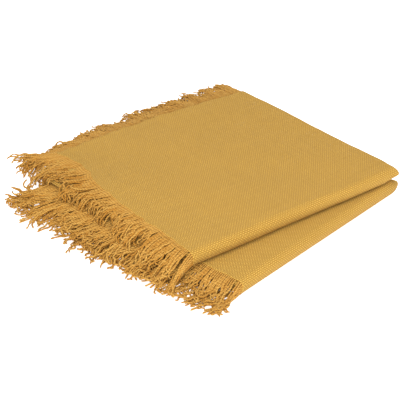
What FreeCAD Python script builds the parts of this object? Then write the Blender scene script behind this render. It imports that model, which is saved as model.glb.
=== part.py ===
"""A fringed cotton throw, folded for a shelf: three leaves across its width, four strips along its length.

The cloth is first folded in three across its width, like a letter, so that every strip is three leaves thick:
"back" is the leaf that both side creases join, "core" is tucked between the other two, and "face" covers
them with its fringed edge on the left. The long strip is then folded to and fro four times. Bottom and
second strip make the lower packet, third and top strip the upper one, and the crease at the back joins the
two packets, so the upper one opens like the cover of a book.

Frame: millimetres, origin at the centre of the underside, +X to the right, +Y to the back, +Z up.
"""

import FreeCAD, Part
import math
import os
from FreeCAD import Vector

# Cloth
CLOTH = 3.2  # thickness of one leaf with its loft
GAP = 0.8  # air between two leaves
PITCH = CLOTH + GAP
LEAVES_PER_STRIP = 3

# Fringe
FRINGE_LENGTH = 75.0
STRAND_WIDTH = 2.4
STRAND_PITCH = 16.0
STRAND_MARGIN = 5.0  # from the end of an edge to its first strand
FRINGE_DROP = 6.0  # how much lower a drooping strand ends than it starts
FOLD_STRAND_ANGLES = (-55, 0, 55)  # where the three strands on a rounded front fold start, in degrees

# Top strip, a rectangle that lies turned on the lower packet
TOP_WIDTH = 408.0
TOP_DEPTH = 376.0
TOP_CENTRE = Vector(13.5, 28.5, 0)
TOP_TURN_DEG = -10.0

# Front fold of the lower packet, and the back crease where the second and the third strip meet
LOWER_FRONT_LEFT = Vector(-202, -189, 0)
LOWER_FRONT_RIGHT = Vector(202, -189, 0)
CREASE_RIGHT = Vector(212, 182, 0)
CREASE_LEFT = Vector(-198, 200, 0)

# The bottom strip ends under the others, short of the back crease and a little askew
BOTTOM_STRIP_LEFT = 260.0
BOTTOM_STRIP_RIGHT = 223.0

# The tucked leaf leaves room for its own fringe before the right-hand crease
CORE_SHORT = FRINGE_LENGTH + 3.0

# Layers
LEAF_MEAN_RADII = [PITCH * (i + 0.5) for i in range(LEAVES_PER_STRIP)]
LEAVES_PER_PACKET = 2 * LEAVES_PER_STRIP
PACKET_HEIGHT = LEAVES_PER_PACKET * PITCH
LOWER_FOLD_Z = (PACKET_HEIGHT - GAP) / 2
UPPER_FOLD_Z = LOWER_FOLD_Z + PACKET_HEIGHT
BACK_FOLD_Z = PACKET_HEIGHT - GAP / 2

UP = Vector(0, 0, 1)

# Leaf level of each strip, counted from the floor, and the leaves that they are
STRIP_LEVELS = {
    "bottom": {"face": 0, "core": 1, "back": 2},
    "second": {"back": 3, "core": 4, "face": 5},
    "third": {"face": 6, "core": 7, "back": 8},
    "top": {"back": 9, "core": 10, "face": 11},
}


def flat_unit(vector):
    """The horizontal unit vector along a vector."""
    flat = Vector(vector.x, vector.y, 0)
    return flat.multiply(1 / flat.Length)


def outward(start, end):
    """The horizontal normal to the right of the way from start to end."""
    return flat_unit(end - start).cross(UP)


def toward(start, end, distance):
    """The point a distance from start on the way to end."""
    return start + flat_unit(end - start).multiply(distance)


def level_z(level):
    """Underside of the leaf at a level."""
    return level * PITCH


def at_height(point, z):
    return Vector(point.x, point.y, z)


class Strip:
    """One strip's outline: four corners seen from above."""

    def __init__(self, front_left, front_right, back_right, back_left):
        self.front_left = front_left
        self.front_right = front_right
        self.back_right = back_right
        self.back_left = back_left

    def core(self):
        """The tucked leaf's outline, which stops short of the right-hand crease."""
        return Strip(
            self.front_left,
            toward(self.front_right, self.front_left, CORE_SHORT),
            toward(self.back_right, self.back_left, CORE_SHORT),
            self.back_left,
        )

    def outline(self, leaf):
        return self.core() if leaf == "core" else self

    def corners(self):
        return [self.front_left, self.front_right, self.back_right, self.back_left]


def top_strip():
    turn = FreeCAD.Rotation(UP, TOP_TURN_DEG)
    corners = []
    for side, end in ((-1, -1), (1, -1), (1, 1), (-1, 1)):
        corner = Vector(side * TOP_WIDTH / 2, end * TOP_DEPTH / 2, 0)
        corners.append(TOP_CENTRE + turn.multVec(corner))
    return Strip(*corners)


TOP = top_strip()
THIRD = Strip(TOP.front_left, TOP.front_right, CREASE_RIGHT, CREASE_LEFT)
SECOND = Strip(LOWER_FRONT_LEFT, LOWER_FRONT_RIGHT, CREASE_RIGHT, CREASE_LEFT)
BOTTOM = Strip(
    LOWER_FRONT_LEFT,
    LOWER_FRONT_RIGHT,
    toward(LOWER_FRONT_RIGHT, CREASE_RIGHT, BOTTOM_STRIP_RIGHT),
    toward(LOWER_FRONT_LEFT, CREASE_LEFT, BOTTOM_STRIP_LEFT),
)
STRIPS = {"bottom": BOTTOM, "second": SECOND, "third": THIRD, "top": TOP}


def prism(points, along):
    """The solid that a closed outline sweeps along a straight way."""
    return Part.Face(Part.makePolygon(points + points[:1])).extrude(along)


def leaf_solid(strip, level):
    """One flat leaf of cloth."""
    corners = [at_height(corner, level_z(level)) for corner in strip.corners()]
    return prism(corners, UP * CLOTH)


def bend_solid(start, end, centre_z, mean_radius):
    """Cloth bent through half a turn about the edge from start to end, on the edge's outer side."""
    out = outward(start, end)
    foot = at_height(start, centre_z)
    outer = mean_radius + CLOTH / 2
    inner = mean_radius - CLOTH / 2
    edges = [
        Part.Arc(foot - UP * outer, foot + out * outer, foot + UP * outer).toShape(),
        Part.LineSegment(foot + UP * outer, foot + UP * inner).toShape(),
        Part.Arc(foot + UP * inner, foot + out * inner, foot - UP * inner).toShape(),
        Part.LineSegment(foot - UP * inner, foot - UP * outer).toShape(),
    ]
    return Part.Face(Part.Wire(edges)).extrude(at_height(end - start, 0))


def strand_solid(root, out, along, length, drop):
    """One straight strand from its root, with the root at the middle of its end face."""
    half = UP * (STRAND_WIDTH / 2)
    tip = root + out * length - UP * drop
    shift = along * (STRAND_WIDTH / 2)
    profile = [root - half - shift, tip - half - shift, tip + half - shift, root + half - shift]
    return prism(profile, along * STRAND_WIDTH)


def fringe(start, end, level, drop=0.0):
    """A row of strands along the edge from start to end of the leaf at a level, on the edge's outer side."""
    along = flat_unit(end - start)
    out = outward(start, end)
    length = at_height(end - start, 0).Length
    count = int((length - 2 * STRAND_MARGIN) // STRAND_PITCH) + 1
    first = (length - (count - 1) * STRAND_PITCH) / 2
    strands = []
    for i in range(count):
        root = at_height(start + along * (first + i * STRAND_PITCH), level_z(level) + CLOTH / 2)
        strands.append(strand_solid(root, out, along, FRINGE_LENGTH, drop))
    return Part.Compound(strands)


def front_fold_fringe(strip, fold_z):
    """The few strands on the left end of a front fold, where the fringed edge goes round it."""
    front = outward(strip.front_left, strip.front_right)
    left = flat_unit(strip.front_left - strip.front_right)
    radius = LEAF_MEAN_RADII[-1]
    strands = []
    for angle in FOLD_STRAND_ANGLES:
        turn = math.radians(angle)
        rise = UP * (radius * math.sin(turn))
        root = at_height(strip.front_left, fold_z) + front * (radius * math.cos(turn)) + rise
        strands.append(strand_solid(root, left, front, FRINGE_LENGTH, 0))
    return Part.Compound(strands)


def leaves_and_side_creases(parts):
    for name, strip in STRIPS.items():
        levels = STRIP_LEVELS[name]
        for leaf, level in levels.items():
            parts[f"{name}_{leaf}_leaf"] = leaf_solid(strip.outline(leaf), level)
        core_z = level_z(levels["core"]) + CLOTH / 2
        back_z = level_z(levels["back"]) + CLOTH / 2
        parts[f"{name}_right_crease"] = bend_solid(strip.front_right, strip.back_right, core_z, PITCH)
        parts[f"{name}_left_crease"] = bend_solid(
            strip.back_left, strip.front_left, (core_z + back_z) / 2, PITCH / 2
        )


def folds(parts):
    """The rounded folds at the front of each packet and the one at the back that joins the packets."""
    for packet, strip, fold_z in (("lower", SECOND, LOWER_FOLD_Z), ("upper", TOP, UPPER_FOLD_Z)):
        for leaf, radius in zip(("back", "core", "face"), LEAF_MEAN_RADII):
            edge = strip.outline(leaf)
            parts[f"{packet}_front_fold_{leaf}"] = bend_solid(
                edge.front_left, edge.front_right, fold_z, radius
            )
    for leaf, radius in zip(("face", "core", "back"), LEAF_MEAN_RADII):
        edge = SECOND.outline(leaf)
        parts[f"middle_back_fold_{leaf}"] = bend_solid(
            edge.back_right, edge.back_left, BACK_FOLD_Z, radius
        )


def fringes(parts):
    for name, strip in STRIPS.items():
        levels = STRIP_LEVELS[name]
        drop = FRINGE_DROP if name in ("second", "top") else 0.0
        parts[f"{name}_side_fringe"] = fringe(strip.back_left, strip.front_left, levels["face"], drop)
        core = strip.core()
        parts[f"{name}_tucked_fringe"] = fringe(core.front_right, core.back_right, levels["core"])
    for name, drop in (("bottom", 0.0), ("top", FRINGE_DROP)):
        for leaf, level in STRIP_LEVELS[name].items():
            edge = STRIPS[name].outline(leaf)
            parts[f"{name}_end_fringe_{leaf}"] = fringe(edge.back_right, edge.back_left, level, drop)
    parts["lower_fold_fringe"] = front_fold_fringe(SECOND, LOWER_FOLD_Z)
    parts["upper_fold_fringe"] = front_fold_fringe(TOP, UPPER_FOLD_Z)


def build():
    parts = {}
    leaves_and_side_creases(parts)
    folds(parts)
    fringes(parts)
    return parts


os.makedirs("parts", exist_ok=True)
for node, shape in build().items():
    shape.exportStep(f"parts/{node}.step")
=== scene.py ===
"""The folded throw: woven cloth in two packets, its back fold and its fringes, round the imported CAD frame.

Everything is in metres, in the frame's own axes: +X to the clean side, +Y to the back fold, +Z up. The cloth
is folded in three across its width. Its leaves are called by their place in that fold: the face leaf shows,
the back leaf joins both side creases, and the core leaf is tucked between them.
"""

import math

import bpy
import numpy as np
from mathutils import Matrix, Vector


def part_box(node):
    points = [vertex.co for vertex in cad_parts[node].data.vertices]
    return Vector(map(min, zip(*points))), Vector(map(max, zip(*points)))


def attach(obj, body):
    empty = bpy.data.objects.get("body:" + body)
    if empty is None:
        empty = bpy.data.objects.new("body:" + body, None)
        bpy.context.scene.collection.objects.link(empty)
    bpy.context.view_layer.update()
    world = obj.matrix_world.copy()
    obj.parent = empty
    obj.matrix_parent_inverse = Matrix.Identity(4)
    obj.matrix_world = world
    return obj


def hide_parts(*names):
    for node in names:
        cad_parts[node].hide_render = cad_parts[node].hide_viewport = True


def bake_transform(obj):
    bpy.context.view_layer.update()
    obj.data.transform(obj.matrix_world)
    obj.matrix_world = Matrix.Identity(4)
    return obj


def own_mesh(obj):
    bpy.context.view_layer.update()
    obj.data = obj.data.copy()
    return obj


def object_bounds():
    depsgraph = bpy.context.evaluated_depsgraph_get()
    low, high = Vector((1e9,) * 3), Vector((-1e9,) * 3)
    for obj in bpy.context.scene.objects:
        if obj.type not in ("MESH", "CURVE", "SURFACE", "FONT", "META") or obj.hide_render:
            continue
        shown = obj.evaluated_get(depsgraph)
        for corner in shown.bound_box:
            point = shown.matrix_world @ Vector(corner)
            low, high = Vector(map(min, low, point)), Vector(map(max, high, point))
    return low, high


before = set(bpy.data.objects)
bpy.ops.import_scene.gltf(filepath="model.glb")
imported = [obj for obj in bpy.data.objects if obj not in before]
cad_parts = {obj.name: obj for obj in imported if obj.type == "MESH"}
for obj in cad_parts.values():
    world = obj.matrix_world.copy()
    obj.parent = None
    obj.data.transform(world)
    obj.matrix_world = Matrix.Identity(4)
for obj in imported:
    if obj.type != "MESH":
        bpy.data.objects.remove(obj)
CAD_BOX = [list(corner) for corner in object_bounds()]

# ---------------------------------------------------------------- driving values

# Cloth
CLOTH = 0.0029  # thickness with its loft
LEAVES = ("face", "core", "back")
FACE_CELL = 0.006  # mesh spacing across the leaf that shows
INNER_CELL = 0.016  # and across the leaves inside
LENGTH_CELL = 0.007
BEND_STEPS = 14  # mesh steps round half a turn
EDGE_STEPS = (0.0, 0.0005, 0.00145)  # how the mesh closes in on a free edge
EDGE_LEAST = 0.25  # the share of the thickness that is left at the very edge
WAY_STEPS = 4  # mesh steps into the cloth that give the way straight out of its edge

# How far the cloth strays from flat and straight
BROAD_RISE = 0.0008
FINE_RISE = 0.00022
RAGGED_EDGE = 0.0016
SIDE_BAND = 0.09  # what moves a side edge fades out over this much cloth
SIDE_FRAY = 0.019  # the top strip's side edge is frayed deepest towards its back corner
SIDE_FRAY_PLACE = 0.84  # as a share of the strip's depth
SIDE_FRAY_SPREAD = 0.17
END_BAND = 0.12  # what moves the end fades out over this much cloth
END_BOW = 0.012  # the top strip's end bows out
END_BOW_PLACE = 0.50  # as a share of its width
END_BOW_SPREAD = 0.25
UPPER_NOSE = {"nose": -0.001, "above": 0.003, "below": 0.018}  # how far the front right corner is drawn in
LOWER_NOSE = {"nose": 0.006, "above": 0.012, "below": 0.004}
NOSE_PARTING = 0.32  # how far each nose's height shrinks on the side towards the other one
FOLD_FULLNESS = 0.62  # the lower half of a front fold bulges: 1 is round, 0 is square
CORNER_WIDTH = 0.030  # how far the rounding reaches from the right-hand crease
CORNER_REACH = 0.055  # and from the front, as a share of the strip's depth
BACK_RISE = 0.006  # the back right corner of the top stands higher
BACK_RISE_SPREAD = 0.20
LOWER_FRONT_BULGE = 0.003  # the lower front fold is pressed out by the packet on it
FRONT_BULGE_BAND = 0.05  # and that fades out over this much cloth

# Fringe
FRINGE_LENGTH = 0.088
STRAND_RADIUS = 0.0015
STRAND_PITCH = 0.0016
DENSE_PITCH = 0.0013  # on the top strip, where the fringe hides the folds below it
STRAND_STEPS = 32
STRAND_SIDES = 5
UNDERSIDE = 0.0016  # every other strand starts this much lower, on the cloth's underside
HIDDEN_STRAND_STEPS = 8
HIDDEN_THINNING = 2  # hidden rows have this many times fewer strands
ROOT_DEPTH = 0.011  # how far a strand can be followed into the cloth
TWIST_PITCH = 0.026  # a strand is a little oval, and the oval turns once in this length
PLIES = 2
PLY_TURNS = 3  # the plies turn this many times as fast as the oval
LEAN_AT_ROOT = 0.3  # a strand has this share of its row's lean at its root
LEAN_GAIN = 1.6  # and gains the rest at this rate along its length
CURL_POWER = 4  # curls are nearly all at the tip
DROOP_POWER = 1.6  # strands lie out flat first and hang more and more towards their tips
ROOT_WIDTH = 0.50  # a strand's width at its root, as a share of its full width
ROOT_SHARE = 0.42  # which it has from this share of its length on
FOLD_PRESSED = 0.45  # what strands on the upper front fold keep of their height when it is turned over
PRESSED_FLAT = 0.15  # and what drooping strands keep
FLOOR_GAP = 0.0002  # no strand comes closer to the floor, so that it is flat where it lies there

# How much strands differ from each other, with angles in radians
LOCK_WIDTHS = (0.008, 0.024)  # a lock is a few neighbouring strands that lie alike
MOST_LOCKS = 200
OWN_SPREAD = 0.45  # a strand's own spread, as a share of its lock's
TIP_SLOPE_SPREAD = 0.16
LENGTH_SPREAD = 0.05
LEAN_SPREAD = 0.24
CURL_SPREAD = 1.3
WAVE_SIZE = 0.66
WAVE_SIZE_SPREAD = 0.30
WAVE_LENGTHS = (0.012, 0.030)
WAVE_PHASE_SPREAD = 2.5
WAVE_RISE = 0.5  # how far the waves go up and down, as a share of how far they go sideways
LOOSE_RISE = 0.006  # how far a strand can stand off what it lies on
STRAND_WIDTHS = (0.85, 1.12)
STRAND_TAPER = 0.16
STRAND_OVAL = 0.16
KNOT_WIDTHS = (0.9, 1.35)  # just before the tip
ROOT_END_WIDTH = 0.6
TIP_END_WIDTH = 0.55
STRAND_TINTS = (0.45, 1)
UNDERSIDE_SHADE = 0.45  # how much darker the strands on the underside are painted, as painted shade under the strands above them

# Relief and shades of the weave and of the fringe's yarn
YARN_PITCH = 0.0024
YARN_WOBBLE = 0.0011
ROUND_POWER = 0.75  # the shape of a float across its yarn
LONG_POWER = 0.28  # and along it
WEFT_HEIGHT = 0.7  # the crosswise yarns lie lower
FIBRE_HEIGHT = 0.35
SLUB_STRETCH = (300.0, 9.0)  # slubs are short across a yarn and long along it
SLUB_RANGE = (0.75, 1.25)
WARP_SHADES = (1.00, 1.11)
WEFT_SHADES = (0.89, 1.01)
PATCH_SHADE = 0.80
PATCH_SHARE = 0.14
WEAVE_DEPTH = 0.0008
STRAND_DEPTH = 0.00035
STRAND_PATCH_SHARE = 0.30
STRAND_SHADE = 1.16
ROUGHNESS = 0.92
SPECULAR = 0.12
WOVEN_SHEEN = 0.08
FRINGE_SHEEN = 0.06
SHEEN_ROUGHNESS = 0.55

# Camera
CAMERA_AZIMUTH = -47.4
CAMERA_ELEVATION = 29.5
CAMERA_DISTANCE = 1.4633
CAMERA_TARGET = (-0.0702, -0.0052, 0.020)
CAMERA_ROLL = -0.3
CAMERA_LENS = 84.5
SENSOR_WIDTH = 36.0

# Lights and floor. Azimuths and elevations are in degrees, as for the camera.
KEY_LIGHT = {"azimuth": -50, "elevation": 32, "distance": 2.4, "size": 1.6, "watts": 43}
TOP_LIGHT = {"azimuth": -10, "elevation": 78, "distance": 2.6, "size": 2.0, "watts": 33}
WORLD_STRENGTH = 0.80
FLOOR_HALF = 40.0  # half the floor's side
FLOOR_WHITE = (0.80, 0.80, 0.80)
FLOOR_ROUGHNESS = 0.9
FLOOR_GLOW = 0.7  # the floor is lit from within, which keeps shadows on it faint

# Colours, linear
OCHRE = (0.602, 0.375, 0.0740)
FRINGE_OCHRE = (0.460, 0.262, 0.060)
SHADED_OCHRE = (0.395, 0.176, 0.024)  # the browner, darker end of the strands' random tones and patches, and the painted shade of the strands on the underside, low in the fringe
GROOVE_SHADE_OCHRE = (0.27, 0.115, 0.012)  # painted shade in the grooves between the yarns and between a strand's plies
SHEEN_TINT = (1.0, 0.86, 0.62, 1.0)


# ---------------------------------------------------------------- smooth noise

class Ripple:
    """A smooth random height over the plane: a few sine waves with seeded directions and phases."""

    def __init__(self, seed, wavelength, waves=7):
        draw = np.random.default_rng(seed)
        angle = draw.uniform(0, 2 * math.pi, waves)
        size = 2 * math.pi / (wavelength * draw.uniform(0.7, 1.6, waves))
        self.kx = size * np.cos(angle)
        self.ky = size * np.sin(angle)
        self.phase = draw.uniform(0, 2 * math.pi, waves)
        self.share = 1 / math.sqrt(waves)

    def __call__(self, x, y):
        x = np.asarray(x, float)[..., None]
        y = np.asarray(y, float)[..., None]
        return np.sin(x * self.kx + y * self.ky + self.phase).sum(-1) * self.share


BROAD = Ripple(3, 0.16)
FINE = Ripple(5, 0.055)
RAGGED = Ripple(8, 0.030)


def bump(x, place, spread):
    """A smooth hump of height 1."""
    return np.exp(-(((x - place) / spread) ** 2))


# ---------------------------------------------------------------- outlines from the frame

def unit(vectors):
    return vectors / np.linalg.norm(vectors, axis=-1, keepdims=True)


def right_of(way):
    """The horizontal direction to the right of a way."""
    return np.array([way[1], -way[0]])


def leaf_corners(node):
    """A leaf's four corners seen from above: front left, front right, back right, back left."""
    points = np.array([(v.co.x, v.co.y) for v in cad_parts[node].data.vertices])
    return [points[np.argmax(points @ way)] for way in ((-1, -1), (1, -1), (1, 1), (-1, 1))]


def middle_height(*nodes):
    """The height halfway through some nodes."""
    low = min(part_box(node)[0][2] for node in nodes)
    high = max(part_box(node)[1][2] for node in nodes)
    return (low + high) / 2


class Strip:
    """One strip's outline, with its depth and the outward ways of its front and back edges."""

    def __init__(self, name):
        corners = leaf_corners(f"{name}_face_leaf")
        self.front_left, self.front_right, self.back_right, self.back_left = corners
        self.front_out = right_of(unit(self.front_right - self.front_left))
        self.back_out = right_of(unit(self.back_left - self.back_right))
        left_side = np.linalg.norm(self.back_left - self.front_left)
        right_side = np.linalg.norm(self.back_right - self.front_right)
        self.depth = (left_side + right_side) / 2

    def ends(self, share):
        """The left and right ends of the line across the strip at a share of its depth."""
        left = self.front_left + (self.back_left - self.front_left) * share
        right = self.front_right + (self.back_right - self.front_right) * share
        return left, right


STRIPS = {name: Strip(name) for name in ("bottom", "second", "third", "top")}
WIDTH = float(np.linalg.norm(STRIPS["top"].front_right - STRIPS["top"].front_left))
CORE_WIDTH = float(np.linalg.norm(np.subtract(*leaf_corners("top_core_leaf")[:2])))
LOWER_FOLD_Z = middle_height("bottom_face_leaf", "second_face_leaf")
UPPER_FOLD_Z = middle_height("third_face_leaf", "top_face_leaf")
BACK_FOLD_Z = middle_height("second_face_leaf", "third_face_leaf")
PACKET_PITCH = UPPER_FOLD_Z - LOWER_FOLD_Z
RADII = {leaf: middle_height(f"top_{leaf}_leaf") - UPPER_FOLD_Z for leaf in LEAVES}
STACK_HEIGHT = CAD_BOX[1][2]
STRIP_TOPS = {"bottom": LOWER_FOLD_Z, "second": BACK_FOLD_Z, "third": UPPER_FOLD_Z}
CREASE_REACH = 0.006  # how far a strip's creases reach beyond its leaves


# ---------------------------------------------------------------- the folded cloth as a grid

class Columns:
    """The cloth across its width, one lengthwise line after another: how far across each lies, how far it
    is from the axis of the fold and how far it is from a free side edge."""

    def __init__(self):
        self.across = []
        self.radius = []
        self.from_edge = []

    def add(self, across, radius, from_edge=CLOTH):
        self.across.append(across)
        self.radius.append(radius)
        self.from_edge.append(from_edge)

    def add_leaf(self, start, end, radius, cell):
        count = int(round(abs(end - start) / cell)) + 1
        for across in np.linspace(start, end, count):
            self.add(across, radius)

    def add_crease(self, across, start_radius, end_radius, side):
        """Half a turn on one side of the packet: side is 1 for the right and -1 for the left."""
        middle = (start_radius + end_radius) / 2
        reach = abs(end_radius - start_radius) / 2
        for step in range(1, BEND_STEPS):
            turn = math.pi * step / BEND_STEPS
            radius = middle + (start_radius - middle) * math.cos(turn)
            self.add(across + side * reach * math.sin(turn), radius)

    def arrays(self):
        return np.array(self.across), np.array(self.radius), np.array(self.from_edge)


def face_columns(columns, radius):
    """The leaf that shows, from its free side edge to the right-hand crease."""
    for step in EDGE_STEPS:
        columns.add(step, radius, step)
    columns.add_leaf(CLOTH, WIDTH, radius, FACE_CELL)


def back_columns(columns, face_radius, core_radius, back_radius):
    """The right-hand crease, the leaf back to the left and the left-hand crease."""
    columns.add_crease(WIDTH, face_radius, back_radius, 1)
    columns.add_leaf(WIDTH, 0, back_radius, INNER_CELL)
    columns.add_crease(0, back_radius, core_radius, -1)


def core_columns(columns, radius):
    """The tucked leaf, from the left-hand crease to its free side edge."""
    columns.add_leaf(0, CORE_WIDTH - CLOTH, radius, INNER_CELL)
    for step in reversed(EDGE_STEPS):
        columns.add(CORE_WIDTH - step, radius, step)


class Rows:
    """The cloth along its length, one crosswise line after another: its two ends, the outward way of the
    fold that it is in, its turn round that fold, how far along it lies and how far from a free end."""

    def __init__(self):
        self.left = []
        self.right = []
        self.out = []
        self.turn = []
        self.share = []
        self.length = []
        self.from_end = []

    def add(self, ends, out, turn, share, length, from_end=CLOTH):
        self.left.append(ends[0])
        self.right.append(ends[1])
        self.out.append(out)
        self.turn.append(turn)
        self.share.append(share)
        self.length.append(length)
        self.from_end.append(from_end)

    def add_bend(self, ends, out, start, length, steps):
        for step in steps:
            turn = -math.pi / 2 + math.pi * step / BEND_STEPS
            self.add(ends, out, turn, 0.0, start + length * step / BEND_STEPS)

    def arrays(self):
        return {name: np.array(values) for name, values in vars(self).items()}


def strip_places(strip, free_end):
    """Distances from a strip's front to its back, each with its distance from the free end."""
    last = strip.depth - CLOTH if free_end else strip.depth
    count = int(round(last / LENGTH_CELL)) + 1
    places = [(place, CLOTH) for place in np.linspace(0, last, count)]
    if free_end:
        places += [(strip.depth - step, step) for step in reversed(EDGE_STEPS)]
    return places


def packet_rows(under, over, free):
    """Rows from the back of the under strip, round the front fold, to the back of the over strip. free names
    the strips whose back is an end of the cloth."""
    rows = Rows()
    under_strip, over_strip = STRIPS[under], STRIPS[over]
    for place, from_end in reversed(strip_places(under_strip, under in free)):
        share = place / under_strip.depth
        ends = under_strip.ends(share)
        rows.add(ends, under_strip.front_out, -math.pi / 2, share, -place, from_end)
    bend = math.pi * RADII["face"]
    rows.add_bend(over_strip.ends(0), over_strip.front_out, 0, bend, range(1, BEND_STEPS))
    for place, from_end in strip_places(over_strip, over in free):
        share = place / over_strip.depth
        ends = over_strip.ends(share)
        rows.add(ends, over_strip.front_out, math.pi / 2, share, bend + place, from_end)
    return rows


def rounding(distance):
    """The share of the full thickness at a distance from a free edge."""
    near = np.clip(distance / (CLOTH / 2), 0, 1)
    return np.maximum(EDGE_LEAST, np.sqrt(1 - (1 - near) ** 2))


class Cloth:
    """A stretch of folded cloth: its middle surface as a grid of points, with its flat coordinates."""

    def __init__(self, rows, columns, axis_z, fullness=1.0):
        self.rows = rows.arrays()
        self.across, self.radius, from_edge = columns.arrays()
        left, right = self.rows["left"][:, None, :], self.rows["right"][:, None, :]
        share = np.clip(self.across / WIDTH, 0, 1)
        beyond = (self.across - share * WIDTH)[None, :, None]
        plan = left + (right - left) * share[None, :, None] + unit(right - left) * beyond
        turn = self.rows["turn"][:, None]
        reach = np.clip(np.cos(turn), 0, 1) ** np.where(turn < 0, fullness, 1.0)
        plan = plan + self.rows["out"][:, None, :] * (self.radius * reach)[..., None]
        height = axis_z + self.radius * np.sin(turn)
        self.points = np.concatenate([plan, height[..., None]], axis=-1)
        steps = np.hypot(np.diff(self.across), np.diff(self.radius))
        width = np.concatenate([[0], np.cumsum(steps)])
        length = self.rows["length"]
        self.flat = np.stack(np.broadcast_arrays(width[None, :], length[:, None]), axis=-1)
        self.flat_size = (float(width[-1]), float(np.ptp(length)))
        self.thickness = CLOTH * rounding(from_edge)[None, :] * rounding(self.rows["from_end"])[:, None]

    def shift_side(self, by_row, radius, band):
        """Moves the face leaf's free side edge inwards by an amount for each row, fading out over a band."""
        on_face = np.isclose(self.radius, radius)
        fade = np.where(on_face, np.clip(1 - self.across / band, 0, 1) ** 2, 0)
        way = unit(self.rows["right"] - self.rows["left"])
        self.points[..., :2] += way[:, None, :] * (by_row[:, None] * fade[None, :])[..., None]

    def shift_end(self, by_column, band):
        """Moves the free back end outwards by an amount for each column, fading out over a band."""
        along = self.rows["length"]
        fade = np.clip(1 - (along[-1] - along) / band, 0, 1) ** 2
        way = -self.rows["out"][-1]
        self.points[..., :2] += way * (fade[:, None] * by_column[None, :])[..., None]

    def bulge_front(self, by):
        """Pushes the front fold out, fading into the flat leaves. A strip is about as deep as it is wide, so
        a row's width gives its distance from the fold."""
        distance = self.rows["share"] * np.linalg.norm(self.rows["right"] - self.rows["left"], axis=1)
        fade = np.clip(1 - distance / FRONT_BULGE_BAND, 0, 1)
        self.points[..., :2] += (self.rows["out"] * (by * fade)[:, None])[:, None, :]

    def round_corner(self, axis_z, inner_side, nose, above, below):
        """Rounds the front right corner, where the front fold runs into the side crease, to a nose. It is
        drawn in by different amounts at its tip, above and below. inner_side is 1 where the other packet
        lies above and -1 where it lies below: there the nose gets thinner."""
        front = np.where(np.abs(self.rows["turn"]) < math.pi / 2 - 1e-6, 0.0, self.rows["share"])
        near = bump(front, 0, CORNER_REACH)[:, None]
        near = near * np.clip((self.across - WIDTH) / CORNER_WIDTH + 1, 0, None)[None, :] ** 2
        height = np.sin(self.rows["turn"])[:, None]
        inset = near * (nose + np.where(height > 0, above, below) * height**2)
        left_way = unit(self.rows["left"] - self.rows["right"])[:, None, :]
        self.points[..., :2] += (left_way - self.rows["out"][:, None, :]) * inset[..., None]
        inner = np.clip((self.points[..., 2] - axis_z) * inner_side, 0, None)
        self.points[..., 2] -= inner_side * inner * NOSE_PARTING * np.clip(near, 0, 1)

    def settle(self):
        """The soft unevenness of the whole stack: most on top, none on the floor. The corner at the back
        right stands a little higher, over the side creases."""
        x, y, z = np.moveaxis(self.points, -1, 0)
        lift = np.clip(z / STACK_HEIGHT, 0, 1)
        corner = STRIPS["top"].back_right
        away = np.hypot(x - corner[0], y - corner[1])
        above_hinge = np.clip((z - BACK_FOLD_Z) / (STACK_HEIGHT - BACK_FOLD_Z), 0, 1)
        self.points[..., 2] += lift * (BROAD_RISE * BROAD(x, y) + FINE_RISE * FINE(x, y))
        self.points[..., 2] += above_hinge * BACK_RISE * bump(away, 0, BACK_RISE_SPREAD)

    def normals(self):
        down = np.gradient(self.points, axis=0)
        over = np.gradient(self.points, axis=1)
        return unit(np.cross(over, down) + 1e-15)

    def edge(self, inward_step, rows=slice(None), columns=slice(None)):
        """Points along a free edge and the ways straight out of it. inward_step is the step in the grid from
        the edge into the cloth, as (rows, columns)."""
        edge = self.points[rows, columns]
        inside = np.roll(self.points, (-inward_step[0], -inward_step[1]), axis=(0, 1))[rows, columns]
        return edge.reshape(-1, 3), unit(edge - inside).reshape(-1, 3)


def grid_faces(rows, columns):
    """Quads over a grid of points and the closed run of points round its rim."""
    index = np.arange(rows * columns).reshape(rows, columns)
    corners = [index[:-1, :-1], index[:-1, 1:], index[1:, 1:], index[1:, :-1]]
    rim = np.concatenate([index[0, :], index[1:, -1], index[-1, -2::-1], index[-2:0:-1, 0]])
    return np.stack(corners, axis=-1).reshape(-1, 4), rim


def new_object(name, vertices, faces, uv, material, tint=None):
    """An object from points with flat coordinates, and a tint for each point where one is given."""
    mesh = bpy.data.meshes.new(name)
    mesh.from_pydata(vertices.tolist(), [], faces)
    corner_vertices = np.zeros(len(mesh.loops), np.int32)
    mesh.loops.foreach_get("vertex_index", corner_vertices)
    layer = mesh.uv_layers.new(name="flat")
    layer.data.foreach_set("uv", uv[corner_vertices].ravel())
    if tint is not None:
        values = mesh.attributes.new("tint", "FLOAT", "POINT")
        values.data.foreach_set("value", tint.astype(np.float32))
    mesh.materials.append(material)
    mesh.shade_smooth()
    mesh.update()
    piece = bpy.data.objects.new(name, mesh)
    bpy.context.scene.collection.objects.link(piece)
    return piece


def sharpen(mesh, loops):
    """Makes the edges along closed runs of points sharp, so that the shading stops there."""
    sharp_pairs = set()
    for loop in loops:
        for a, b in zip(loop.tolist(), np.roll(loop, -1).tolist()):
            sharp_pairs.add((min(a, b), max(a, b)))
    for edge in mesh.edges:
        edge.use_edge_sharp = tuple(sorted(edge.vertices)) in sharp_pairs


def cloth_object(name, cloth, material):
    """A closed cloth from its middle surface: two skins and the wall between them."""
    offset = cloth.normals() * (cloth.thickness[..., None] / 2)
    skins = np.concatenate([(cloth.points + offset).reshape(-1, 3), (cloth.points - offset).reshape(-1, 3)])
    upper, rim = grid_faces(*cloth.points.shape[:2])
    other = cloth.thickness.size
    lower = upper[:, ::-1] + other
    following = np.roll(rim, -1)
    wall = np.stack([following, rim, rim + other, following + other], axis=-1)
    faces = np.concatenate([upper, lower, wall]).tolist()
    uv = np.tile(cloth.flat.reshape(-1, 2), (2, 1))
    piece = new_object(name, skins, faces, uv, material)
    sharpen(piece.data, [rim, rim + other])
    return piece


# ---------------------------------------------------------------- fringe

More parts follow.
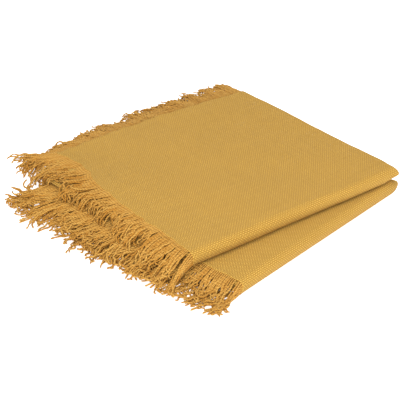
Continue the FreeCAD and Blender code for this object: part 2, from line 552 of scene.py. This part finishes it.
class Manner:
    """How a row of strands lies, each quantity a run of values from the start of the row to its end: the
    slope below level at the root and at the tip and the lean along the edge, all in degrees, how wild the
    strands are, and their length as a share of the fringe's. over names the strips that they can rest on."""

    def __init__(self, root_slope, tip_slope, lean, wildness, length=(1.0,), over=()):
        self.root_slope = root_slope
        self.tip_slope = tip_slope
        self.lean = lean
        self.wildness = wildness
        self.length = length
        self.over = over


def resting_height(places, over):
    """The height under some places: the top of the highest strip that they are over, or the floor."""
    height = np.zeros(len(places))
    for name in over:
        strip = STRIPS[name]
        corners = [strip.front_left, strip.front_right, strip.back_right, strip.back_left]
        inside = np.full(len(places), True)
        for start, end in zip(corners, corners[1:] + corners[:1]):
            offset = (places[:, :2] - start) @ right_of(unit(end - start))
            inside &= offset < CREASE_REACH
        height = np.maximum(height, np.where(inside, STRIP_TOPS[name], 0))
    return height


def along_row(values, share):
    """A run of values, spread evenly along a row, at some shares of it."""
    return np.interp(share, np.linspace(0, 1, len(values)), values)


def along_edge(points, ways, pitch):
    """Roots at an even pitch along an edge, their ways out and their distance along it."""
    steps = np.linalg.norm(np.diff(points, axis=0), axis=1)
    run = np.concatenate([[0], np.cumsum(steps)])
    count = max(2, int(run[-1] / pitch))
    places = (np.arange(count) + 0.5) * run[-1] / count
    roots = np.stack([np.interp(places, run, points[:, k]) for k in range(3)], axis=-1)
    outs = unit(np.stack([np.interp(places, run, ways[:, k]) for k in range(3)], axis=-1))
    sides = unit(np.stack([np.interp(places, run, np.gradient(points[:, k])) for k in range(3)], axis=-1))
    return roots, outs, sides, places


def lock_numbers(places, draw):
    """Which lock of neighbouring strands each strand is in."""
    ends = np.cumsum(draw.uniform(*LOCK_WIDTHS, MOST_LOCKS))
    return np.searchsorted(ends, places)


def by_lock(locks, draw, spread):
    """One random value for each lock, with a smaller one of its own for each strand."""
    shared = draw.normal(0, spread, locks.max() + 1)[locks]
    return shared + draw.normal(0, OWN_SPREAD * spread, len(locks))


def grow(roots, outs, sides, places, manner, steps, seed):
    """The strands' centre lines. Each starts straight out of the cloth, droops, leans with its lock and
    waves more and more towards its tip."""
    draw = np.random.default_rng(seed)
    count = len(roots)
    locks = lock_numbers(places, draw)
    share = places / places[-1]
    wild = along_row(manner.wildness, share)
    root_slope = np.radians(along_row(manner.root_slope, share))
    tip_slope = np.radians(along_row(manner.tip_slope, share))
    tip_slope = tip_slope + wild * by_lock(locks, draw, TIP_SLOPE_SPREAD)
    row_lean = np.radians(along_row(manner.lean, share))
    spread = 1 + by_lock(locks, draw, LENGTH_SPREAD) * (0.5 + wild)
    length = FRINGE_LENGTH * along_row(manner.length, share) * spread
    lean = wild * by_lock(locks, draw, LEAN_SPREAD)
    wave_size = wild * np.abs(draw.normal(WAVE_SIZE, WAVE_SIZE_SPREAD, count))
    wave_length = draw.uniform(*WAVE_LENGTHS, count)
    side_phase = by_lock(locks, draw, WAVE_PHASE_SPREAD)
    rise_phase = draw.uniform(0, 2 * math.pi, count)
    curl = wild * draw.normal(0, CURL_SPREAD, count)
    clear = STRAND_RADIUS + draw.uniform(0, LOOSE_RISE, count) * wild
    start = roots.copy()
    start[1::2, 2] -= UNDERSIDE
    up = np.array([0.0, 0.0, 1.0])
    level_out = unit(outs * np.array([1, 1, 0]))
    level_side = sides * np.array([1, 1, 0]) + 1e-9
    level_side = unit(level_side - level_out * (level_side * level_out).sum(-1, keepdims=True))
    line = [start - outs * ROOT_DEPTH, start]
    place = start
    for step in range(steps):
        t = (step + 0.5) / steps
        wave = 2 * math.pi * length * t / wave_length
        heading = row_lean * min(1.0, LEAN_AT_ROOT + LEAN_GAIN * t) + lean * t + curl * t**CURL_POWER
        heading = heading + wave_size * t * np.sin(wave + side_phase)
        slope = root_slope + (tip_slope - root_slope) * t**DROOP_POWER
        slope = slope + WAVE_RISE * wave_size * t * np.sin(wave + rise_phase)
        level = np.cos(heading)[:, None] * level_out + np.sin(heading)[:, None] * level_side
        way = np.cos(slope)[:, None] * level - np.sin(slope)[:, None] * up
        place = place + way * (length / steps)[:, None]
        rest = resting_height(place, manner.over) + clear
        place[:, 2] = np.maximum(place[:, 2], np.minimum(rest, line[-1][:, 2]))
        line.append(place)
    return np.stack(line, axis=1)


def tube_mesh(lines, seed):
    """Twisted oval tubes along centre lines, closed at both ends."""
    draw = np.random.default_rng(seed)
    count, rings = lines.shape[:2]
    shape = (count, rings, STRAND_SIDES)
    tangent = unit(np.gradient(lines, axis=1))
    side = unit(np.cross(tangent, np.array([0.0, 0.0, 1.0])) + 1e-9)
    up = np.cross(side, tangent)
    steps = np.linalg.norm(np.diff(lines, axis=1), axis=2)
    run = np.concatenate([np.zeros((count, 1)), np.cumsum(steps, axis=1)], axis=1)
    share = run / run[:, -1:]
    width = STRAND_RADIUS * draw.uniform(*STRAND_WIDTHS, (count, 1)) * (1 - STRAND_TAPER * share)
    width *= ROOT_WIDTH + (1 - ROOT_WIDTH) * np.clip(share / ROOT_SHARE, 0, 1)
    width[:, 0] *= ROOT_END_WIDTH
    width[:, -2] *= draw.uniform(*KNOT_WIDTHS, count)
    width[:, -1] *= TIP_END_WIDTH
    angle = np.arange(STRAND_SIDES) * 2 * math.pi / STRAND_SIDES
    twist = 2 * math.pi * run / TWIST_PITCH + draw.uniform(0, 2 * math.pi, (count, 1))
    oval = 1 + STRAND_OVAL * np.cos(2 * (angle[None, None, :] - twist[..., None]))
    ring = width[..., None] * oval
    vertices = (
        lines[:, :, None, :]
        + side[:, :, None, :] * (ring * np.cos(angle))[..., None]
        + up[:, :, None, :] * (ring * np.sin(angle))[..., None]
    )
    vertices[..., 2] = np.maximum(vertices[..., 2], FLOOR_GAP)
    index = np.arange(count * rings * STRAND_SIDES).reshape(shape)
    turned = np.roll(index, -1, axis=2)
    quads = np.stack([index[:, :-1], turned[:, :-1], turned[:, 1:], index[:, 1:]], axis=-1).reshape(-1, 4)
    caps = np.concatenate([index[:, 0, ::-1], index[:, -1]])
    around = np.broadcast_to(angle / (2 * math.pi), shape)
    along = np.broadcast_to(run[..., None], shape)
    uv = np.stack([around, along], axis=-1).reshape(-1, 2)
    # painted shade: strands that start on the underside, under the others, are made darker
    on_underside = np.arange(count) % 2
    tint = draw.uniform(*STRAND_TINTS, count) - UNDERSIDE_SHADE * on_underside
    tint = np.broadcast_to(tint[:, None, None], shape).ravel()
    return vertices.reshape(-1, 3), quads.tolist() + caps.tolist(), uv, tint


def strands_object(name, edge, manner, material, seed, pitch, steps):
    """One row of strands along an edge of the cloth."""
    roots, outs, sides, places = along_edge(*edge, pitch)
    lines = grow(roots, outs, sides, places, manner, steps, seed)
    vertices, faces, uv, tint = tube_mesh(lines, seed + 1)
    return new_object(name, vertices, faces, uv, material, tint)


# ---------------------------------------------------------------- materials

class Nodes:
    """A short way to write a material's node tree."""

    def __init__(self, name):
        self.material = bpy.data.materials.new(name)
        self.material.use_nodes = True
        self.tree = self.material.node_tree
        self.shader = self.tree.nodes["Principled BSDF"]

    def add(self, kind, settings=(), **inputs):
        node = self.tree.nodes.new(kind)
        for key, value in dict(settings).items():
            setattr(node, key, value)
        for key, value in inputs.items():
            self.feed(node.inputs[key.replace("_", " ")], value)
        return node

    def feed(self, socket, value):
        if isinstance(value, bpy.types.NodeSocket):
            self.tree.links.new(value, socket)
        else:
            socket.default_value = value

    def math(self, operation, a, b=0.0):
        node = self.tree.nodes.new("ShaderNodeMath")
        node.operation = operation
        self.feed(node.inputs[0], a)
        self.feed(node.inputs[1], b)
        return node.outputs[0]

    def mix(self, share, a, b):
        """Blends two colours."""
        node = self.tree.nodes.new("ShaderNodeMix")
        node.data_type = "RGBA"
        self.feed(node.inputs[0], share)
        self.feed(node.inputs[6], a)
        self.feed(node.inputs[7], b)
        return node.outputs[2]

    def spread(self, value, low, high, to_low=0.0, to_high=1.0):
        """Maps a range of values to another."""
        node = self.tree.nodes.new("ShaderNodeMapRange")
        for k, v in enumerate((value, low, high, to_low, to_high)):
            self.feed(node.inputs[k], v)
        return node.outputs[0]

    def finish(self, colour, height, depth, sheen):
        """Connects the colour and the height of the relief, and returns the material."""
        bump_node = self.add("ShaderNodeBump", Strength=1.0, Distance=depth, Height=height)
        self.feed(self.shader.inputs["Base Color"], colour)
        self.feed(self.shader.inputs["Normal"], bump_node.outputs[0])
        self.shader.inputs["Roughness"].default_value = ROUGHNESS
        self.shader.inputs["Specular IOR Level"].default_value = SPECULAR
        self.shader.inputs["Sheen Weight"].default_value = sheen
        self.shader.inputs["Sheen Roughness"].default_value = SHEEN_ROUGHNESS
        self.shader.inputs["Sheen Tint"].default_value = SHEEN_TINT
        return self.material


def shade(colour, factor=1.0):
    """A lighter or darker version of a colour, opaque."""
    return tuple(channel * factor for channel in colour) + (1.0,)


def woven_material():
    """Plain weave: every float is a small mound, long along its own yarn, over and under by turns, with
    painted shade in the grooves between the yarns.
    """
    nodes = Nodes("woven_cloth")
    uv = nodes.add("ShaderNodeUVMap", {"uv_map": "flat"}).outputs[0]
    wobble = nodes.add("ShaderNodeTexNoise", Vector=uv, Scale=120.0, Detail=2.0).outputs["Fac"]
    axes = nodes.add("ShaderNodeSeparateXYZ", Vector=uv)
    shifted = nodes.math("MULTIPLY", nodes.math("SUBTRACT", wobble, 0.5), YARN_WOBBLE)
    across = nodes.math("MULTIPLY", nodes.math("ADD", axes.outputs[0], shifted), math.pi / YARN_PITCH)
    along = nodes.math("MULTIPLY", nodes.math("SUBTRACT", axes.outputs[1], shifted), math.pi / YARN_PITCH)
    sin_across = nodes.math("SINE", across)
    sin_along = nodes.math("SINE", along)
    warp_over = nodes.math("GREATER_THAN", nodes.math("MULTIPLY", sin_across, sin_along), 0.0)
    weft_over = nodes.math("SUBTRACT", 1.0, warp_over)
    flat_across = nodes.math("ABSOLUTE", sin_across)
    flat_along = nodes.math("ABSOLUTE", sin_along)
    warp = nodes.math(
        "MULTIPLY", nodes.math("POWER", flat_across, ROUND_POWER), nodes.math("POWER", flat_along, LONG_POWER)
    )
    weft = nodes.math(
        "MULTIPLY", nodes.math("POWER", flat_along, ROUND_POWER), nodes.math("POWER", flat_across, LONG_POWER)
    )
    low_weft = nodes.math("MULTIPLY", nodes.math("MULTIPLY", weft, WEFT_HEIGHT), weft_over)
    weave = nodes.math("ADD", nodes.math("MULTIPLY", warp, warp_over), low_weft)
    fibre = nodes.add("ShaderNodeTexNoise", Vector=uv, Scale=1900.0, Detail=3.0).outputs["Fac"]
    height = nodes.math("ADD", weave, nodes.math("MULTIPLY", fibre, FIBRE_HEIGHT))

    lengthwise = nodes.add("ShaderNodeMapping", Vector=uv)
    lengthwise.inputs["Scale"].default_value = (*SLUB_STRETCH, 1.0)
    crosswise = nodes.add("ShaderNodeMapping", Vector=uv)
    crosswise.inputs["Scale"].default_value = (*reversed(SLUB_STRETCH), 1.0)
    slubs = nodes.math(
        "ADD",
        nodes.add("ShaderNodeTexNoise", Vector=lengthwise.outputs[0], Scale=1.0).outputs["Fac"],
        nodes.add("ShaderNodeTexNoise", Vector=crosswise.outputs[0], Scale=1.0).outputs["Fac"],
    )
    slub_share = nodes.spread(slubs, *SLUB_RANGE)
    patches = nodes.add("ShaderNodeTexNoise", Vector=uv, Scale=16.0, Detail=3.0).outputs["Fac"]
    warp_colour = nodes.mix(slub_share, *(shade(OCHRE, factor) for factor in WARP_SHADES))
    weft_colour = nodes.mix(slub_share, *(shade(OCHRE, factor) for factor in WEFT_SHADES))
    yarn = nodes.mix(warp_over, weft_colour, warp_colour)
    body = nodes.mix(nodes.spread(patches, 0.3, 0.7, 0.0, PATCH_SHARE), yarn, shade(OCHRE, PATCH_SHADE))
    # painted shade: the low parts of the weave, between the yarns, are blended towards a dark brown
    colour = nodes.mix(nodes.spread(weave, 0.15, 0.85), shade(GROOVE_SHADE_OCHRE), body)
    return nodes.finish(colour, height, WEAVE_DEPTH, WOVEN_SHEEN)


def fringe_material():
    """Loose twisted yarn, each strand a little lighter or darker than the next, with painted shade on the
    strands that start on the underside and in the grooves between the plies.
    """
    nodes = Nodes("fringe")
    uv = nodes.add("ShaderNodeUVMap", {"uv_map": "flat"}).outputs[0]
    axes = nodes.add("ShaderNodeSeparateXYZ", Vector=uv)
    turns = nodes.math(
        "ADD",
        nodes.math("MULTIPLY", axes.outputs[0], PLIES),
        nodes.math("MULTIPLY", axes.outputs[1], PLIES / (TWIST_PITCH / PLY_TURNS)),
    )
    ply = nodes.math("ABSOLUTE", nodes.math("SINE", nodes.math("MULTIPLY", turns, math.pi)))
    place = nodes.add("ShaderNodeNewGeometry").outputs["Position"]
    fibre = nodes.add("ShaderNodeTexNoise", Vector=place, Scale=1500.0, Detail=3.0).outputs["Fac"]
    height = nodes.math("ADD", nodes.math("POWER", ply, 0.6), nodes.math("MULTIPLY", fibre, 0.6))
    tint = nodes.add("ShaderNodeAttribute", {"attribute_name": "tint"}).outputs["Fac"]
    strand = nodes.mix(tint, shade(SHADED_OCHRE), shade(FRINGE_OCHRE, STRAND_SHADE))
    patches = nodes.add("ShaderNodeTexNoise", Vector=place, Scale=55.0, Detail=2.0).outputs["Fac"]
    patch_share = nodes.spread(patches, 0.35, 0.65, 0.0, STRAND_PATCH_SHARE)
    body = nodes.mix(patch_share, strand, shade(SHADED_OCHRE))
    # painted shade: the grooves between the plies are blended towards a dark brown
    colour = nodes.mix(nodes.spread(ply, 0.0, 0.5), shade(GROOVE_SHADE_OCHRE), body)
    return nodes.finish(colour, height, STRAND_DEPTH, FRINGE_SHEEN)


WOVEN = woven_material()
FRINGE = fringe_material()


# ---------------------------------------------------------------- pieces of cloth

def packet_cloth(name, body, under, over, axis_z, free):
    """A packet's cloth: the under strip, the front fold about an axis at some height and the over strip.
    free names the strip that ends in a free end of the cloth."""
    columns = Columns()
    face_columns(columns, RADII["face"])
    back_columns(columns, *RADII.values())
    core_columns(columns, RADII["core"])
    cloth = Cloth(packet_rows(under, over, free), columns, axis_z, FOLD_FULLNESS)
    ragged = RAGGED_EDGE * RAGGED(cloth.rows["length"], axis_z)
    if over == "top":
        on_top = cloth.rows["turn"] > 0
        fray = SIDE_FRAY * bump(cloth.rows["share"], SIDE_FRAY_PLACE, SIDE_FRAY_SPREAD) * on_top
        cloth.shift_side(ragged + fray, RADII["face"], SIDE_BAND)
        bow = END_BOW * bump(cloth.across / WIDTH, END_BOW_PLACE, END_BOW_SPREAD)
        cloth.shift_end(bow + RAGGED_EDGE * RAGGED(cloth.across, 1.0), END_BAND)
        cloth.round_corner(axis_z, -1, **UPPER_NOSE)
    else:
        cloth.shift_side(ragged, RADII["face"], SIDE_BAND)
        cloth.bulge_front(LOWER_FRONT_BULGE)
        cloth.round_corner(axis_z, 1, **LOWER_NOSE)
    cloth.settle()
    piece = cloth_object(name, cloth, WOVEN)
    nodes = [f"{strip}_{leaf}_leaf" for strip in (under, over) for leaf in LEAVES]
    nodes += [f"{strip}_{side}_crease" for strip in (under, over) for side in ("left", "right")]
    packet = body.split("_")[0]
    nodes += [f"{packet}_front_fold_{leaf}" for leaf in LEAVES]
    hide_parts(*nodes)
    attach(piece, body)
    return piece, cloth


# Round the back fold the leaves come in the opposite order: the face leaf is innermost.
BACK_FOLD_RADII = {leaf: PACKET_PITCH / 2 - radius for leaf, radius in RADII.items()}


def back_fold_columns(leaf):
    """The columns of one leaf round the back fold. The back leaf has both side creases with it."""
    columns = Columns()
    if leaf == "face":
        face_columns(columns, BACK_FOLD_RADII["face"])
    elif leaf == "core":
        core_columns(columns, BACK_FOLD_RADII["core"])
    else:
        back_columns(columns, *BACK_FOLD_RADII.values())
    return columns


def back_fold(leaf):
    """One leaf's part of the back fold, which bends between the two packets."""
    radius = BACK_FOLD_RADII[leaf]
    rows = Rows()
    crease = STRIPS["second"]
    rows.add_bend(crease.ends(1), crease.back_out, 0, math.pi * radius, range(BEND_STEPS + 1))
    cloth = Cloth(rows, back_fold_columns(leaf), BACK_FOLD_Z)
    cloth.settle()
    piece = cloth_object(f"back_fold_{leaf}_cloth", cloth, WOVEN)
    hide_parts(f"middle_back_fold_{leaf}")
    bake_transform(piece)
    return piece, cloth


upper, upper_cloth = packet_cloth(
    "upper_packet_cloth", "upper_packet", "third", "top", UPPER_FOLD_Z, ("top",)
)
lower, lower_cloth = packet_cloth(
    "lower_packet_cloth", "lower_packet", "bottom", "second", LOWER_FOLD_Z, ("bottom",)
)
back_folds = {leaf: back_fold(leaf) for leaf in LEAVES}


# ---------------------------------------------------------------- rows of fringe

def side_edge(cloth, which):
    """The face leaf's free side edge of one part of a packet: the under strip, the fold or the over strip."""
    turn = cloth.rows["turn"]
    under, over = turn <= -math.pi / 2 + 1e-6, turn >= math.pi / 2 - 1e-6
    rows = {"under": under, "over": over, "fold": ~(under | over)}[which]
    points, ways = cloth.edge((0, WAY_STEPS), columns=0)
    return points[rows], ways[rows]


def tucked_edge(cloth, which):
    """The tucked leaf's free side edge in a packet's under strip, or in its fold and over strip."""
    turn = cloth.rows["turn"]
    rows = turn > 0 if which == "over" else turn <= 0
    points, ways = cloth.edge((0, -WAY_STEPS), columns=-1)
    return points[rows], ways[rows]


def end_edge(cloth, row, inward, leaf):
    """One leaf's free end, from left to right."""
    points, ways = cloth.edge((inward, 0), rows=row)
    on_leaf = np.flatnonzero(np.isclose(cloth.radius, RADII[leaf]) & (cloth.across <= WIDTH))
    left_to_right = on_leaf[np.argsort(cloth.across[on_leaf])]
    return points[left_to_right], ways[left_to_right]


def fringe_row(name, node, body, edge, manner, seed, pitch=STRAND_PITCH, hidden=False, keep=1.0):
    """A row of fringe that rides a packet. keep, what its strands would keep of their height once the upper
    packet is turned over, is only compared with 1 here: a row with less gets a mesh of its own."""
    pitch = HIDDEN_THINNING * pitch if hidden else pitch
    steps = HIDDEN_STRAND_STEPS if hidden else STRAND_STEPS
    piece = strands_object(name, edge, manner, FRINGE, seed, pitch, steps)
    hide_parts(node)
    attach(piece, body)
    if keep < 1:
        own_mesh(piece)
    return piece


top_side = fringe_row(
    "top_side_strands", "top_side_fringe", "upper_packet", side_edge(upper_cloth, "over"),
    Manner(
        root_slope=(24, 10, 8, 8, 10, 2),
        tip_slope=(66, 70, 78, 84, 88, 88, 86, 80, 78, 70, 22),
        lean=(-6, 10, 24, 30, 32, 40),
        wildness=(1.2, 1.8, 1.8, 1.6, 1.5, 1.1),
        length=(0.74, 0.66, 0.59, 0.68, 0.96, 0.98),
        over=("second", "third"),
    ),
    seed=21, pitch=DENSE_PITCH, keep=PRESSED_FLAT,
)
upper_fold = fringe_row(
    "upper_fold_strands", "upper_fold_fringe", "upper_packet", side_edge(upper_cloth, "fold"),
    Manner(root_slope=(20, 40), tip_slope=(40, 52), lean=(0,), wildness=(0.8,), length=(0.78,)),
    seed=22, keep=FOLD_PRESSED,
)
third_side = fringe_row(
    "third_side_strands", "third_side_fringe", "upper_packet", side_edge(upper_cloth, "under"),
    Manner(
        root_slope=(3, 12), tip_slope=(20, 32), lean=(-40, -32, -20, 0), wildness=(1.3,),
        length=(0.92, 0.84, 0.76), over=("second",),
    ),
    seed=23, keep=PRESSED_FLAT,
)
second_side = fringe_row(
    "second_side_strands", "second_side_fringe", "lower_packet", side_edge(lower_cloth, "over"),
    Manner(
        root_slope=(24, 12, 8), tip_slope=(34, 28, 24), lean=(-6, 14, 24, 28, 44),
        wildness=(1.4, 1.5, 1.4, 1.1), length=(0.74, 0.82, 0.92, 1.02, 1.02), over=("bottom",),
    ),
    seed=24,
)
lower_fold = fringe_row(
    "lower_fold_strands", "lower_fold_fringe", "lower_packet", side_edge(lower_cloth, "fold"),
    Manner(root_slope=(0, 34), tip_slope=(0, 34), lean=(0,), wildness=(1.0,), length=(0.78,)),
    seed=25,
)
bottom_side = fringe_row(
    "bottom_side_strands", "bottom_side_fringe", "lower_packet", side_edge(lower_cloth, "under"),
    Manner(root_slope=(0,), tip_slope=(0,), lean=(-34, -20, 0), wildness=(1.3,), length=(1.0, 0.80)),
    seed=26,
)
TOP_END_MANNER = Manner(
    root_slope=(14, 10, 8, 6, 4, 2), tip_slope=(40, 32, 30, 26, 16, 3), lean=(-62, -22, -8, 0, 6, 0),
    wildness=(1.5, 1.4, 1.3, 1.3, 1.2, 0.4), length=(0.84, 0.74, 0.74, 0.78, 0.80, 0.70), over=("third",),
)
BOTTOM_END_MANNER = Manner(root_slope=(0,), tip_slope=(0,), lean=(0,), wildness=(0.3,), length=(0.85,))
TUCKED_MANNER = Manner(root_slope=(0,), tip_slope=(0,), lean=(0,), wildness=(0.15,), length=(0.64,))
top_end = {
    leaf: fringe_row(
        f"top_end_{leaf}_strands", f"top_end_fringe_{leaf}", "upper_packet",
        end_edge(upper_cloth, -1, -WAY_STEPS, leaf), TOP_END_MANNER, seed=31 + k, keep=PRESSED_FLAT,
    )
    for k, leaf in enumerate(LEAVES)
}
bottom_end = {
    leaf: fringe_row(
        f"bottom_end_{leaf}_strands", f"bottom_end_fringe_{leaf}", "lower_packet",
        end_edge(lower_cloth, 0, WAY_STEPS, leaf), BOTTOM_END_MANNER, seed=41 + k, hidden=True,
    )
    for k, leaf in enumerate(LEAVES)
}
tucked = {
    strip: fringe_row(
        f"{strip}_tucked_strands", f"{strip}_tucked_fringe", body,
        tucked_edge(cloth, which), TUCKED_MANNER, seed=51 + k, hidden=True,
    )
    for k, (strip, body, cloth, which) in enumerate((
        ("bottom", "lower_packet", lower_cloth, "under"),
        ("second", "lower_packet", lower_cloth, "over"),
        ("third", "upper_packet", upper_cloth, "under"),
        ("top", "upper_packet", upper_cloth, "over"),
    ))
}


# ---------------------------------------------------------------- studio

def view_direction(azimuth, elevation):
    """The way from the object to something at an azimuth and elevation, in degrees."""
    turn, rise = math.radians(azimuth), math.radians(elevation)
    return Vector((math.sin(turn) * math.cos(rise), -math.cos(turn) * math.cos(rise), math.sin(rise)))


def add_floor():
    mesh = bpy.data.meshes.new("floor")
    corners = [(x * FLOOR_HALF, y * FLOOR_HALF, 0) for x, y in ((-1, -1), (1, -1), (1, 1), (-1, 1))]
    mesh.from_pydata(corners, [], [(0, 1, 2, 3)])
    floor = bpy.data.objects.new("floor", mesh)
    bpy.context.scene.collection.objects.link(floor)
    nodes = Nodes("floor_paper")
    nodes.shader.inputs["Base Color"].default_value = FLOOR_WHITE + (1.0,)
    nodes.shader.inputs["Roughness"].default_value = FLOOR_ROUGHNESS
    nodes.shader.inputs["Specular IOR Level"].default_value = 0.0
    nodes.shader.inputs["Emission Color"].default_value = (1.0, 1.0, 1.0, 1.0)
    nodes.shader.inputs["Emission Strength"].default_value = FLOOR_GLOW
    mesh.materials.append(nodes.material)


def add_area_light(name, azimuth, elevation, distance, size, watts):
    light = bpy.data.lights.new(name, "AREA")
    light.shape = "DISK"
    light.size = size
    light.energy = watts
    lamp = bpy.data.objects.new(name, light)
    direction = view_direction(azimuth, elevation)
    lamp.location = Vector(CAMERA_TARGET) + direction * distance
    lamp.rotation_euler = direction.to_track_quat("Z", "Y").to_euler()
    bpy.context.scene.collection.objects.link(lamp)


def add_world(strength):
    world = bpy.data.worlds.new("studio")
    world.use_nodes = True
    background = world.node_tree.nodes["Background"]
    background.inputs["Color"].default_value = (1.0, 1.0, 1.0, 1.0)
    background.inputs["Strength"].default_value = strength
    bpy.context.scene.world = world


def add_camera():
    camera = bpy.data.cameras.new("camera")
    camera.lens = CAMERA_LENS
    camera.sensor_width = SENSOR_WIDTH
    view = bpy.data.objects.new("camera", camera)
    direction = view_direction(CAMERA_AZIMUTH, CAMERA_ELEVATION)
    aim = direction.to_track_quat("Z", "Y").to_matrix().to_4x4()
    roll = Matrix.Rotation(math.radians(CAMERA_ROLL), 4, "Z")
    place = Matrix.Translation(Vector(CAMERA_TARGET) + direction * CAMERA_DISTANCE)
    view.matrix_world = place @ aim @ roll
    bpy.context.scene.collection.objects.link(view)
    bpy.context.scene.camera = view


add_floor()
add_world(WORLD_STRENGTH)
add_area_light("key", **KEY_LIGHT)
add_area_light("top", **TOP_LIGHT)
add_camera()
bpy.context.scene.view_settings.view_transform = "Standard"
